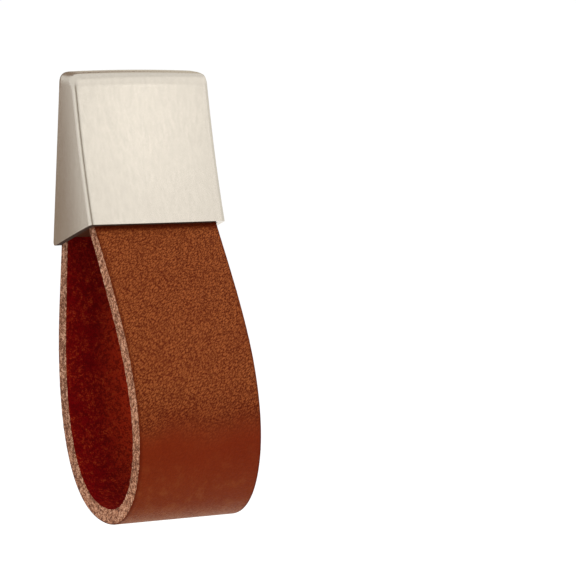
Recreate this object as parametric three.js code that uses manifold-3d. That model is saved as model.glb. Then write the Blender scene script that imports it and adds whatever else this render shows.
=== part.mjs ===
// Leather loop knob for a drawer or cabinet door.
// A wedge-shaped cast cap holds both ends of one bent leather strap round a tapped boss.
// Millimetres. X runs across the knob, +Y into the door, +Z up.
// The origin is on the door's face, on the axis of the fixing screw.
// Side outlines are lists of [out, up]: out is the distance from the door, up is Z.
import * as THREE from "three";
import { mergeVertices } from "three/addons/utils/BufferGeometryUtils.js";
import Module from "manifold-3d";

const wasm = await Module();
wasm.setup();

// Strap, one strip of leather bent to a drop and punched near both ends.
const STRAP_WIDTH = 23;
const LEATHER = 2.5;
const PINCHED = 2.1; // thickness where the cap squeezes it
const RECOVERY = 13; // distance below the mouth over which it swells again
const PAST_HOLE = 6.5; // hole centre to the strap's end
const PEEL = 1.8; // the front run leaves the cap's wall this far above the mouth
const LEAVING_LEAN = 37; // degrees from upright as the front run leaves the mouth
const BACK_STRAIGHT = 10; // the back run stays flat on the door this far below the mouth
const LOOP_DEPTH = 28.9; // the loop's furthest distance from the door
const LOOP_BELLY = 36; // height of that furthest place, below the lip
const LOOP_DROP = 48.7; // lowest place, below the lip
const LOOP_DROP_DEPTH = 18.2; // and its distance from the door
// Lengths of the tangents that shape the loop, in the order in which they are met from the back run.
const BACK_PULL = 16.1;
const DROP_PULL_BACK = 13.5;
const DROP_PULL_FRONT = 8.4;
const BELLY_PULL_DOWN = 5.5;
const BELLY_PULL_UP = 13.6;
const MOUTH_PULL = 8.1;

// Cap, a thin casting that is open at the door and at the mouth below.
const SIDE_ROOM = 0.5; // between the strap's edge and the side wall
const TOP_ABOVE_SCREW = 15; // screw axis to the flat top
const LIP_BELOW_SCREW = 9.3; // screw axis to the front lip of the mouth
const TOP_DEPTH = 4.3; // the front face's distance from the door at the top
const LIP_DEPTH = 12.4; // and at the lip
const FRONT_HOLLOW = 0.43; // the front face dips this much below its chord
const MOUTH_SLOPE = 23.3; // degrees that the mouth falls towards the door
const WALL = 1;
const TOP_ROUND = 1.7; // edge between the top and the front and sides
const FRONT_ROUND = 0.8; // upright edges between the front and the sides
const INSIDE_ROUND = 0.4; // least fillet inside the casting
const HEEL_ROUND = 1; // the side walls' lower rear corners

// Boss, cast with the cap and tapped from the door side.
const THREAD_CORE_RADIUS = 1.65;
const BOSS_WALL = 1.75; // at the door face
const BOSS_DRAFT = 2; // degrees that it widens towards the front
const BORE_FLOOR = 1.5; // metal left between the bore's tip and the front face
const DRILL_POINT = 31; // degrees between the drilled tip and the door
const LEAD_IN = 0.5; // chamfer at the bore's mouth

// Spacer, a cast wedge between the two strap ends.
const SPACER_SETBACK = 0.2; // from the strap's edge, on each side
const SPACER_TIP = 0.8; // least thickness, at its upper end
const SPACER_RECESS = 0.6; // its foot stands this far above the mouth
const SPACER_NOSE_ROUND = 1.4; // lower front edge
const SPACER_HEEL_ROUND = 0.6; // lower rear edge

const FIT = 0.3; // gap between pieces that lie on each other
const OVERCUT = 2; // how far a cutter runs past what it cuts
const EVEN_PULL = 1 / 3; // tangent length of an even curve, as a share of its span
const ARC_STEPS = 8;
const FACE_STEPS = 14;
const CURVE_STEPS = 20;
const ROUND_STEPS = 48;

const RADIANS = Math.PI / 180;
const CAP_WIDTH = STRAP_WIDTH + 2 * (SIDE_ROOM + WALL);
const BOSS_RADIUS = THREAD_CORE_RADIUS + BOSS_WALL;
const lip = [LIP_DEPTH, -LIP_BELOW_SCREW];
const mouthAngle = MOUTH_SLOPE * RADIANS;
const mouthInward = [-Math.cos(mouthAngle), -Math.sin(mouthAngle)];
const mouthUpward = [-Math.sin(mouthAngle), Math.cos(mouthAngle)];

const add = (a, b, scale = 1) => [a[0] + b[0] * scale, a[1] + b[1] * scale];
const along = (a, b) => {
  const length = Math.hypot(b[0] - a[0], b[1] - a[1]);
  return [(b[0] - a[0]) / length, (b[1] - a[1]) / length];
};
const mix = (a, b, t) => a + (b - a) * t;
const smooth = (t) => {
  const s = Math.min(Math.max(t, 0), 1);
  return s * s * (3 - 2 * s);
};

// The front face is an arc in side view, with its centre out in front of the knob.
const frontArc = (() => {
  const top = [TOP_DEPTH, TOP_ABOVE_SCREW];
  const chord = along(lip, top);
  const half = Math.hypot(top[0] - lip[0], top[1] - lip[1]) / 2;
  const radius = (half * half + FRONT_HOLLOW * FRONT_HOLLOW) / (2 * FRONT_HOLLOW);
  const middle = add(lip, chord, half);
  return { radius, centre: add(middle, [chord[1], -chord[0]], radius - FRONT_HOLLOW) };
})();

// Distance from the door of the surface that lies this far behind the front face, at a height.
function frontDepth(up, behind = 0) {
  const reach = frontArc.radius + behind;
  const rise = up - frontArc.centre[1];
  return frontArc.centre[0] - Math.sqrt(reach * reach - rise * rise);
}

// The height at which that surface is this far from the door.
function heightAtDepth(depth, behind) {
  const reach = frontArc.radius + behind;
  const run = frontArc.centre[0] - depth;
  return frontArc.centre[1] - Math.sqrt(reach * reach - run * run);
}

// Where that surface meets a line that runs on inwards from a point in front of it.
function meetFront(point, direction, behind) {
  const reach = frontArc.radius + behind;
  const toCentre = add(frontArc.centre, point, -1);
  const nearest = toCentre[0] * direction[0] + toCentre[1] * direction[1];
  const aside = toCentre[0] * direction[1] - toCentre[1] * direction[0];
  return add(point, direction, nearest + Math.sqrt(reach * reach - aside * aside));
}

// The same surface's upward direction at a height.
function frontUpward(up, behind = 0) {
  const toCentre = along([frontDepth(up, behind), up], frontArc.centre);
  return [-toCentre[1], toCentre[0]];
}

const mouthUp = (out) => lip[1] + (out - lip[0]) * Math.tan(mouthAngle);
const belowMouth = (point) =>
  -((point[0] - lip[0]) * mouthUpward[0] + (point[1] - lip[1]) * mouthUpward[1]);

// A closed geometry as a solid, and a solid as a geometry with plain faces.
function solidOf(geometry) {
  const bare = geometry.clone();
  bare.deleteAttribute("normal");
  bare.deleteAttribute("uv");
  const merged = mergeVertices(bare, 1e-4);
  return new wasm.Manifold(
    new wasm.Mesh({
      numProp: 3,
      vertProperties: new Float32Array(merged.attributes.position.array),
      triVerts: new Uint32Array(merged.index.array),
    }),
  );
}

function geometryOf(solid) {
  const mesh = solid.getMesh();
  const indexed = new THREE.BufferGeometry();
  indexed.setAttribute("position", new THREE.BufferAttribute(mesh.vertProperties, 3));
  indexed.setIndex(new THREE.BufferAttribute(mesh.triVerts, 1));
  const faceted = indexed.toNonIndexed();
  faceted.computeVertexNormals();
  return faceted;
}

// A side outline carried across the knob, centred on it.
function acrossKnob(outline, width) {
  const shape = new THREE.Shape(outline.map(([out, up]) => new THREE.Vector2(up, out)));
  const geometry = new THREE.ExtrudeGeometry(shape, { depth: width, bevelEnabled: false });
  geometry.translate(0, 0, -width / 2);
  return geometry.applyMatrix4(
    new THREE.Matrix4().makeBasis(
      new THREE.Vector3(0, 0, 1),
      new THREE.Vector3(0, -1, 0),
      new THREE.Vector3(1, 0, 0),
    ),
  );
}

// A profile of [radius, y] turned about the screw axis. It starts and ends on the axis.
function aboutScrew(profile) {
  return new THREE.LatheGeometry(
    profile.map(([radius, y]) => new THREE.Vector2(radius, y)),
    ROUND_STEPS,
  );
}

// Rounds the corner between two straight edges by an arc, and gives its points in order.
function roundedCorner(before, corner, after, radius) {
  const back = along(corner, before);
  const ahead = along(corner, after);
  const half = Math.acos(back[0] * ahead[0] + back[1] * ahead[1]) / 2;
  const bisector = along([0, 0], add(back, ahead));
  const centre = add(corner, bisector, radius / Math.sin(half));
  const start = add(corner, back, radius / Math.tan(half));
  const end = add(corner, ahead, radius / Math.tan(half));
  const from = Math.atan2(start[1] - centre[1], start[0] - centre[0]);
  const to = Math.atan2(end[1] - centre[1], end[0] - centre[0]);
  const turn = Math.atan2(Math.sin(to - from), Math.cos(to - from));
  return Array.from({ length: ARC_STEPS + 1 }, (_, i) => {
    const angle = from + (turn * i) / ARC_STEPS;
    return [centre[0] + radius * Math.cos(angle), centre[1] + radius * Math.sin(angle)];
  });
}

// Level section of the cap at one height, as [x, y] points: a U whose open side is at the door.
function capSection(halfWidth, depth, corner, doorSide) {
  const left = roundedCorner([-halfWidth, 0], [-halfWidth, -depth], [halfWidth, -depth], corner);
  const right = left.map(([x, y]) => [-x, y]).reverse();
  return [[-halfWidth, doorSide], ...left, ...right, [halfWidth, doorSide]];
}

// A stack of level sections with equal point counts, closed at both ends.
function stackSections(levels) {
  const count = levels[0].points.length;
  const positions = levels.flatMap(({ up, points }) => points.flatMap(([x, y]) => [x, y, up]));
  const faces = [];
  for (let level = 0; level < levels.length - 1; level += 1) {
    for (let i = 0; i < count; i += 1) {
      const a = level * count + i;
      const b = level * count + ((i + 1) % count);
      faces.push(a, b, b + count, a, b + count, a + count);
    }
  }
  const ends = [
    { start: 0, up: false },
    { start: (levels.length - 1) * count, up: true },
  ];
  for (const end of ends) {
    const points = levels[end.start / count].points.map(([x, y]) => new THREE.Vector2(x, y));
    for (const [a, b, c] of THREE.ShapeUtils.triangulateShape(points, [])) {
      const face = end.up ? [a, b, c] : [c, b, a];
      faces.push(...face.map((index) => index + end.start));
    }
  }
  const geometry = new THREE.BufferGeometry();
  geometry.setAttribute("position", new THREE.Float32BufferAttribute(positions, 3));
  return geometry.setIndex(faces);
}

// The cap's body, or the hollow that leaves the given wall, down to below the mouth.
function capBody(wall, doorSide) {
  const top = TOP_ABOVE_SCREW - wall;
  const edge = Math.max(TOP_ROUND - wall, INSIDE_ROUND);
  const corner = Math.max(FRONT_ROUND - wall, INSIDE_ROUND);
  const bottom = mouthUp(0) - OVERCUT - wall;
  const heights = [];
  for (let i = 0; i <= FACE_STEPS; i += 1) heights.push(mix(bottom, top - edge, i / FACE_STEPS));
  for (let i = 1; i <= ARC_STEPS; i += 1) {
    heights.push(top - edge + edge * Math.sin((i / ARC_STEPS) * (Math.PI / 2)));
  }
  const levels = heights.map((up) => {
    const rise = Math.max(up - (top - edge), 0);
    const inset = edge - Math.sqrt(Math.max(edge * edge - rise * rise, 0));
    const halfWidth = CAP_WIDTH / 2 - wall - inset;
    return { up, points: capSection(halfWidth, frontDepth(up, wall) - inset, corner, doorSide) };
  });
  return solidOf(stackSections(levels));
}

// Everything below the mouth, with the side walls' heel corners rounded.
function belowMouthCutter() {
  const front = [LIP_DEPTH + OVERCUT * 2, mouthUp(LIP_DEPTH + OVERCUT * 2)];
  const heel = [0, mouthUp(0)];
  const rounded = roundedCorner(front, heel, [0, TOP_ABOVE_SCREW], HEEL_ROUND);
  const low = mouthUp(0) - OVERCUT * 4;
  const backEdge = rounded[rounded.length - 1];
  const outline = [front, ...rounded, [-OVERCUT, backEdge[1]], [-OVERCUT, low], [front[0], low]];
  return solidOf(acrossKnob(outline, CAP_WIDTH + OVERCUT * 2));
}

// Boss outline with its draft, from the door face to past the front.
function bossSolid(extra = 0, doorSide = 0) {
  const reach = LIP_DEPTH;
  const radius = BOSS_RADIUS + extra;
  const widening = Math.tan(BOSS_DRAFT * RADIANS);
  return solidOf(
    aboutScrew([
      [0, -reach],
      [radius + reach * widening, -reach],
      [radius - doorSide * widening, doorSide],
      [0, doorSide],
    ]),
  );
}

function threadBore() {
  const tip = frontDepth(0) - BORE_FLOOR;
  const depth = tip - THREAD_CORE_RADIUS * Math.tan(DRILL_POINT * RADIANS);
  const mouth = THREAD_CORE_RADIUS + LEAD_IN;
  return solidOf(
    aboutScrew([
      [0, -tip],
      [THREAD_CORE_RADIUS, -depth],
      [THREAD_CORE_RADIUS, -LEAD_IN],
      [mouth, 0],
      [mouth, OVERCUT],
      [0, OVERCUT],
    ]),
  );
}

function makeCap() {
  const body = capBody(0, 0);
  const shell = body.subtract(capBody(WALL, OVERCUT)).subtract(belowMouthCutter());
  const boss = bossSolid().intersect(body);
  return geometryOf(shell.add(boss).subtract(threadBore()));
}

// One cubic curve of the strap's outer face, from a point and direction to the next.
function curveBetween(from, fromDirection, fromPull, to, toDirection, toPull) {
  const curve = new THREE.CubicBezierCurve(
    new THREE.Vector2(...from),
    new THREE.Vector2(...add(from, fromDirection, fromPull)),
    new THREE.Vector2(...add(to, toDirection, -toPull)),
    new THREE.Vector2(...to),
  );
  return curve.getPoints(CURVE_STEPS).map(({ x, y }) => [x, y]);
}

// The strap's outer face from its rear end, down the door, round the loop and up into the cap.
function strapOuterFace() {
  const down = [0, -1];
  const outward = [1, 0];
  const upward = [0, 1];
  const lean = LEAVING_LEAN * RADIANS;
  const leaving = [-Math.sin(lean), Math.cos(lean)];
  const lipUp = lip[1];
  const behind = WALL + FIT;

  const rearEnd = [0, PAST_HOLE];
  const backFlat = [0, mouthUp(0) - BACK_STRAIGHT];
  const drop = [LOOP_DROP_DEPTH, lipUp - LOOP_DROP];
  const belly = [LOOP_DEPTH, lipUp - LOOP_BELLY];
  const mouth = add(lip, mouthInward, behind);
  const seatUp = mouth[1] + PEEL;
  const seat = [frontDepth(seatUp, behind), seatUp];
  const pull = PEEL * EVEN_PULL;
  const room = heightAtDepth(PINCHED + FIT, behind + PINCHED);
  const endUp = Math.min(PAST_HOLE * frontUpward(0, behind)[1], room);

  const backRun = [];
  for (let i = 0; i < FACE_STEPS; i += 1) {
    backRun.push([0, mix(rearEnd[1], backFlat[1], i / FACE_STEPS)]);
  }
  const frontRun = [];
  for (let i = 1; i <= FACE_STEPS; i += 1) {
    const up = mix(seatUp, endUp, i / FACE_STEPS);
    frontRun.push([frontDepth(up, behind), up]);
  }
  return [
    ...backRun,
    ...curveBetween(backFlat, down, BACK_PULL, drop, outward, DROP_PULL_BACK),
    ...curveBetween(drop, outward, DROP_PULL_FRONT, belly, upward, BELLY_PULL_DOWN).slice(1),
    ...curveBetween(belly, upward, BELLY_PULL_UP, mouth, leaving, MOUTH_PULL).slice(1),
    ...curveBetween(mouth, leaving, pull, seat, frontUpward(seatUp, behind), pull).slice(1),
    ...frontRun,
  ];
}

// The leather is thinner where the cap squeezes it, and swells to full thickness below the mouth.
const leatherAt = (point) => mix(PINCHED, LEATHER, smooth(belowMouth(point) / RECOVERY));

// Offsets an open outline to its left by a distance that may change along it.
function offsetLeft(outline, distanceAt) {
  return outline.map((point, i) => {
    const before = outline[Math.max(i - 1, 0)];
    const after = outline[Math.min(i + 1, outline.length - 1)];
    const [dx, dy] = along(before, after);
    return add(point, [-dy, dx], distanceAt(point));
  });
}

function makeStrap() {
  const outer = strapOuterFace();
  const inner = offsetLeft(outer, leatherAt);
  const strip = solidOf(acrossKnob([...outer, ...inner.reverse()], STRAP_WIDTH));
  return geometryOf(strip.subtract(bossSolid(FIT, OVERCUT)));
}

function makeSpacer() {
  const behind = WALL + FIT + PINCHED + FIT;
  const backOut = PINCHED + FIT;
  const foot = add(lip, mouthUpward, SPACER_RECESS);
  const tipUp = Math.min(heightAtDepth(backOut + SPACER_TIP, behind), PAST_HOLE);
  const nose = meetFront(foot, mouthInward, behind);
  const heel = add(foot, mouthInward, (foot[0] - backOut) / Math.cos(mouthAngle));
  const tip = [frontDepth(tipUp, behind), tipUp];
  const noseArc = roundedCorner(tip, nose, heel, SPACER_NOSE_ROUND);
  const heelArc = roundedCorner(nose, heel, [backOut, tipUp], SPACER_HEEL_ROUND);
  const face = [];
  for (let i = 0; i < FACE_STEPS; i += 1) {
    const up = mix(tipUp, noseArc[0][1], i / FACE_STEPS);
    face.push([frontDepth(up, behind), up]);
  }
  const outline = [...face, ...noseArc, ...heelArc, [backOut, tipUp]];
  const wedge = solidOf(acrossKnob(outline, STRAP_WIDTH - 2 * SPACER_SETBACK));
  return geometryOf(wedge.subtract(bossSolid(FIT, OVERCUT)));
}

function named(name, geometry, color, roughness, metalness) {
  const material = new THREE.MeshStandardMaterial({ color, roughness, metalness });
  const mesh = new THREE.Mesh(geometry, material);
  mesh.name = name;
  return mesh;
}

const knob = new THREE.Group();
knob.add(
  named("cap", makeCap(), 0xe4dccb, 0.35, 1),
  named("strap", makeStrap(), 0x7d3a1c, 0.6, 0),
  named("spacer", makeSpacer(), 0xa9a6a0, 0.5, 1),
);

export default knob;
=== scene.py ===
"""Leather loop knob for a drawer or cabinet door, dressed for its photograph.

A brushed cast cap holds both ends of one bent leather strap round a tapped boss, with a
cast wedge between the two ends. Pieces are modelled in millimetres and brought to metres
when their shape is done. X runs across the knob, +Y into the door and +Z up, from the
screw axis on the door's face. Side outlines are (out, up) pairs, where out is the
distance from the door.
"""

from __future__ import annotations

import logging
import math
from contextlib import contextmanager
from dataclasses import dataclass, field
from enum import Enum, IntEnum
from typing import Any, Callable, Iterator, Mapping, Sequence

import bmesh
import bpy
from mathutils import Matrix, Quaternion, Vector

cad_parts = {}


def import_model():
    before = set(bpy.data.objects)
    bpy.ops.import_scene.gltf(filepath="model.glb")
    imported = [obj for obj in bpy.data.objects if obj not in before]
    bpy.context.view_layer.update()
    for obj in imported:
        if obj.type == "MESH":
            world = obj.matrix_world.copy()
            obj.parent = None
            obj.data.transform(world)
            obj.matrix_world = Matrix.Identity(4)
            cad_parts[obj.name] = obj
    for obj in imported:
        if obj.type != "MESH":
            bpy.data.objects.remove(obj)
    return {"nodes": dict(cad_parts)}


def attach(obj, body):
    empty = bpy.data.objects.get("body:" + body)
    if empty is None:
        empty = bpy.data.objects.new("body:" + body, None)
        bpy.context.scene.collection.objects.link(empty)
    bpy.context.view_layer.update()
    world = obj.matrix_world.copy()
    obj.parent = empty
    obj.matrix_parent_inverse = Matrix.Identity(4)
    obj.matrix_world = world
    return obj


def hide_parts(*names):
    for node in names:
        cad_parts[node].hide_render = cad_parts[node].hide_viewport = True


log = logging.getLogger("leather_knob")

MILLIMETRE = 0.001
BODY = "root"
NEAR = 1e-4  # millimetres within which two places are the same
NODE_STEP = 180  # from one node to the next in a node tree

Color = tuple[float, float, float]
Range = tuple[float, float]


class Slot(Enum):
    """Material slots of the record."""

    NICKEL = "brushed_nickel"
    LEATHER = "leather"
    ZINC = "cast_zinc"


class CapFace(IntEnum):
    """Material places on the cap."""

    OUTSIDE = 0
    INSIDE = 1
    RIM = 2


class StrapFace(IntEnum):
    """Material places on the strap."""

    GRAIN = 0
    FLESH = 1
    CUT = 2


# Modelling by hand.


def place(x: float, point: Vector) -> Vector:
    """Gives the 3-D place, in millimetres, of a side-view (out, up) point at x across the knob."""
    return Vector((x, -point.x, point.y))


def clamped(share: float) -> float:
    """Keeps a share between 0 and 1."""
    return min(max(share, 0.0), 1.0)


def span(edge: bmesh.types.BMEdge) -> Vector:
    """Gives the way from one end of an edge to the other."""
    return edge.verts[1].co - edge.verts[0].co


def at_height(edge: bmesh.types.BMEdge, up: float) -> bool:
    """Tells whether both ends of an edge lie at a height."""
    return all(abs(vertex.co.z - up) < NEAR for vertex in edge.verts)


def on_side(edge: bmesh.types.BMEdge, half: float) -> bool:
    """Tells whether both ends of an edge lie half a width from the middle."""
    return all(abs(abs(vertex.co.x) - half) < NEAR for vertex in edge.verts)


def ends_on_door(edge: bmesh.types.BMEdge) -> int:
    """Counts the ends of an edge that lie on the door."""
    return sum(abs(vertex.co.y) < NEAR for vertex in edge.verts)


def make_active(piece: bpy.types.Object) -> None:
    """Selects one object alone and makes it active.

    Args:
        piece: the object.
    """
    bpy.ops.object.select_all(action="DESELECT")
    piece.select_set(True)
    bpy.context.view_layer.objects.active = piece


def add_primitive(add: Callable[..., Any], name: str, **settings: Any) -> bpy.types.Object:
    """Adds a primitive while nothing else is selected.

    Args:
        add: the operator that adds it.
        name: the new object's name.
        settings: the operator's own settings.

    Returns:
        The new object, selected and active.
    """
    bpy.ops.object.select_all(action="DESELECT")
    add(**settings)
    added = bpy.context.active_object
    added.name = name
    return added


class Editing:
    """One piece opened in edit mode, with selection by place or by normal."""

    def __init__(self, piece: bpy.types.Object) -> None:
        """Takes the piece that is edited."""
        self.piece = piece

    def __enter__(self) -> Editing:
        """Opens edit mode with nothing selected.

        Returns:
            The opened piece.
        """
        make_active(self.piece)
        bpy.ops.object.mode_set(mode="EDIT")
        bpy.ops.mesh.select_mode(type="VERT")
        bpy.ops.mesh.select_all(action="DESELECT")
        return self

    def __exit__(self, *_: object) -> None:
        """Goes back to object mode."""
        bpy.ops.object.mode_set(mode="OBJECT")

    def everything(self) -> None:
        """Selects the whole mesh."""
        bpy.ops.mesh.select_all(action="SELECT")

    def vertices(self, wanted: Callable[[Vector], bool]) -> None:
        """Selects vertices.

        Args:
            wanted: tells of a vertex's place whether it is taken.
        """
        bpy.ops.mesh.select_mode(type="VERT")
        mesh = bmesh.from_edit_mesh(self.piece.data)
        for vertex in mesh.verts:
            vertex.select_set(wanted(vertex.co))
        mesh.select_flush_mode()
        bmesh.update_edit_mesh(self.piece.data)

    def edges(self, wanted: Callable[[bmesh.types.BMEdge], bool]) -> None:
        """Selects the edges that are wanted."""
        self._take("EDGE", wanted)

    def faces(self, wanted: Callable[[bmesh.types.BMFace], bool]) -> None:
        """Selects the faces that are wanted."""
        self._take("FACE", wanted)

    def merge(self) -> None:
        """Merges the vertices that share a place."""
        self.everything()
        bpy.ops.mesh.remove_doubles(threshold=NEAR)

    def face_outwards(self) -> None:
        """Turns all faces outwards."""
        self.everything()
        bpy.ops.mesh.normals_make_consistent(inside=False)

    def _take(self, kind: str, wanted: Callable[[Any], bool]) -> None:
        """Selects edges or faces.

        Args:
            kind: EDGE or FACE.
            wanted: tells of one of them whether it is taken.
        """
        bpy.ops.mesh.select_mode(type=kind)
        bpy.ops.mesh.select_all(action="DESELECT")
        mesh = bmesh.from_edit_mesh(self.piece.data)
        for element in mesh.edges if kind == "EDGE" else mesh.faces:
            if wanted(element):
                element.select_set(True)
        bmesh.update_edit_mesh(self.piece.data)


def start_outline(name: str, points: Sequence[Vector]) -> bpy.types.Object:
    """Draws a chain of edges from a plane that is merged to one vertex and extruded on.

    Args:
        name: the piece's name.
        points: the chain's places, in order.

    Returns:
        The new piece, an open chain.
    """
    piece = add_primitive(bpy.ops.mesh.primitive_plane_add, name, size=1, location=(0, 0, 0))
    with Editing(piece) as edit:
        edit.everything()
        bpy.ops.mesh.merge(type="CENTER")
        bpy.ops.transform.translate(value=points[0])
        for before, after in zip(points, points[1:]):
            bpy.ops.mesh.extrude_vertices_move(TRANSFORM_OT_translate={"value": after - before})
    return piece


def apply_modifier(piece: bpy.types.Object, kind: str, **settings: Any) -> None:
    """Adds one modifier and applies it.

    Args:
        piece: the piece that gets it.
        kind: the modifier's type name.
        settings: values for the modifier's own settings.
    """
    make_active(piece)
    modifier = piece.modifiers.new(kind.title(), kind)
    for name, value in settings.items():
        setattr(modifier, name, value)
    bpy.ops.object.modifier_apply(modifier=modifier.name)


def weigh(
    piece: bpy.types.Object, name: str, share: Callable[[bpy.types.MeshVertex], float]
) -> str:
    """Puts every vertex of a piece in a new vertex group.

    Args:
        piece: the piece.
        name: the group's name.
        share: gives a vertex's share, from 0 to 1.

    Returns:
        The group's name.
    """
    group = piece.vertex_groups.new(name=name)
    for vertex in piece.data.vertices:
        group.add([vertex.index], share(vertex), "REPLACE")
    return group.name


def displace(
    piece: bpy.types.Object, group: str, strength: float, direction: str, **settings: Any
) -> None:
    """Moves the vertices of a piece by their shares.

    Args:
        piece: the piece.
        group: the vertex group that holds the shares.
        strength: how far a full share moves, in millimetres.
        direction: X, Y, Z or NORMAL.
        settings: further settings of the Displace modifier.
    """
    wanted = {"mid_level": 0.0, **settings}
    apply_modifier(
        piece, "DISPLACE", vertex_group=group, strength=strength, direction=direction, **wanted
    )


def combine(piece: bpy.types.Object, other: bpy.types.Object, operation: str) -> None:
    """Joins another solid to a piece, or cuts it away, and drops the other."""
    apply_modifier(piece, "BOOLEAN", operation=operation, solver="EXACT", object=other)
    bpy.data.objects.remove(other, do_unlink=True)


def join(piece: bpy.types.Object, other: bpy.types.Object) -> None:
    """Puts another piece's mesh into this one's.

    Args:
        piece: the piece that stays.
        other: the piece that is taken up.
    """
    make_active(piece)
    other.select_set(True)
    bpy.ops.object.join()


def bring_to_metres(piece: bpy.types.Object) -> None:
    """Scales a piece that was modelled in millimetres and keeps the result in its mesh.

    Args:
        piece: the piece.
    """
    make_active(piece)
    piece.scale = (MILLIMETRE,) * 3
    bpy.ops.object.transform_apply(location=True, rotation=True, scale=True)


def shade(piece: bpy.types.Object, sharp_from: float, flat: bool = True) -> None:
    """Shades a piece smooth between its sharp edges.

    Args:
        piece: the piece.
        sharp_from: the angle, in degrees, from which an edge is sharp.
        flat: whether wide faces are left flat beside their rounds.
    """
    make_active(piece)
    bpy.ops.object.shade_smooth_by_angle(angle=math.radians(sharp_from))
    if flat:
        apply_modifier(piece, "WEIGHTED_NORMAL", weight=90, keep_sharp=True)


def mark(part: bpy.types.Object, face: IntEnum) -> None:
    """Puts all faces of a part on one material place."""
    part.data.polygons.foreach_set("material_index", [face] * len(part.data.polygons))


def dress(piece: bpy.types.Object, *materials: bpy.types.Material | None) -> None:
    """Gives a piece its materials.

    Args:
        piece: the piece.
        materials: a material, or none yet, for each of its material places in order.
    """
    for _ in range(len(materials) - len(piece.data.materials)):
        piece.data.materials.append(None)
    for index, material in enumerate(materials):
        piece.data.materials[index] = material


def keep(piece: bpy.types.Object, slot: Slot, *nodes: str) -> None:
    """Lets a finished piece ride on the frame and stand for its CAD nodes.

    Args:
        piece: the finished piece.
        slot: its material slot; not used.
        nodes: the CAD nodes that it replaces.
    """
    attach(piece, BODY)
    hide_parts(*nodes)
    log.info("%s: %d faces", piece.name, len(piece.data.polygons))


# Node trees.


class Wiring:
    """Adds nodes to one tree from left to right, and links them as they are added.

    A value given to a node is a socket to link, a number, three numbers or a colour.
    """

    def __init__(self, tree: bpy.types.NodeTree) -> None:
        """Takes the tree and empties it."""
        self.tree = tree
        tree.nodes.clear()

    def add(
        self, kind: str, inputs: Mapping[str | int, Any] | None = None, **settings: Any
    ) -> bpy.types.Node:
        """Adds one node.

        Args:
            kind: the node's type name.
            inputs: the value of each named or numbered input.
            settings: values for the node's own settings.

        Returns:
            The new node.
        """
        node = self.tree.nodes.new(kind)
        node.location = (NODE_STEP * len(self.tree.nodes), 0)
        for name, value in settings.items():
            setattr(node, name, value)
        for key, value in (inputs or {}).items():
            socket = node.inputs[key]
            if isinstance(value, bpy.types.NodeSocket):
                self.tree.links.new(value, socket)
            else:
                socket.default_value = (*value, 1.0) if socket.type == "RGBA" else value
        return node

    def math(self, operation: str, *values: Any) -> bpy.types.NodeSocket:
        """Adds a Math node and gives its result."""
        return self.add("ShaderNodeMath", dict(enumerate(values)), operation=operation).outputs[0]

    def vector_math(self, operation: str, first: Any, second: Any) -> bpy.types.NodeSocket:
        """Adds a Vector Math node, whose second value may be a scale, and gives its result."""
        inputs = {0: first, "Scale" if operation == "SCALE" else 1: second}
        return self.add("ShaderNodeVectorMath", inputs, operation=operation).outputs[0]

    def noise(
        self, vector: Any, scale: Any, detail: float, roughness: float
    ) -> bpy.types.NodeSocket:
        """Adds a Noise Texture and gives its value, from about 0.3 to 0.7."""
        inputs = {"Vector": vector, "Scale": scale, "Detail": detail, "Roughness": roughness}
        return self.add("ShaderNodeTexNoise", inputs).outputs[0]

    def remap(
        self, value: Any, low: float, high: float, to_low: float = 0.0, to_high: float = 1.0
    ) -> bpy.types.NodeSocket:
        """Stretches a range of values to another by a smooth step."""
        inputs = {0: value, 1: low, 2: high, 3: to_low, 4: to_high}
        return self.add("ShaderNodeMapRange", inputs, interpolation_type="SMOOTHSTEP").outputs[0]

    def blend(self, share: Any, first: Any, second: Any) -> bpy.types.NodeSocket:
        """Mixes a share of the second colour into the first and gives the result."""
        inputs = {0: share, 6: first, 7: second}
        return self.add("ShaderNodeMix", inputs, data_type="RGBA").outputs[2]

    def bump(self, height: Any, strength: float, depth: float) -> bpy.types.NodeSocket:
        """Adds a Bump node, with its depth in metres, and gives its normal."""
        inputs = {"Height": height, "Strength": strength, "Distance": depth}
        return self.add("ShaderNodeBump", inputs).outputs[0]

    def piece_place(self) -> bpy.types.NodeSocket:
        """Gives the place on the piece, in metres."""
        return self.add("ShaderNodeTexCoord").outputs["Object"]

    def parts(self, vector: Any) -> bpy.types.bpy_prop_collection:
        """Takes a vector apart and gives its X, Y and Z."""
        return self.add("ShaderNodeSeparateXYZ", {0: vector}).outputs

    def group(
        self, tree: bpy.types.NodeTree, inputs: Mapping[str, Any]
    ) -> bpy.types.bpy_prop_collection:
        """Places a shader node group with its own values and gives its outputs."""
        return self.add("ShaderNodeGroup", inputs, node_tree=tree).outputs

    def seen(self) -> bpy.types.NodeSocket:
        """Gives 1 where the camera sees a surface, mirrored or through glass too, and else 0.

        Returns:
            The value.
        """
        path = self.add("ShaderNodeLightPath").outputs
        seen = self.math("MAXIMUM", path["Is Camera Ray"], path["Is Glossy Ray"])
        return self.math("MAXIMUM", seen, path["Is Transmission Ray"])

    def give(self, values: Mapping[str, bpy.types.NodeSocket]) -> bpy.types.NodeTree:
        """Ends a shader node group.

        Args:
            values: what the group puts out, by name.

        Returns:
            The finished group.
        """
        for name in values:
            self.tree.interface.new_socket(name, in_out="OUTPUT", socket_type="NodeSocketFloat")
        self.add("NodeGroupOutput", values)
        return self.tree


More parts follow.
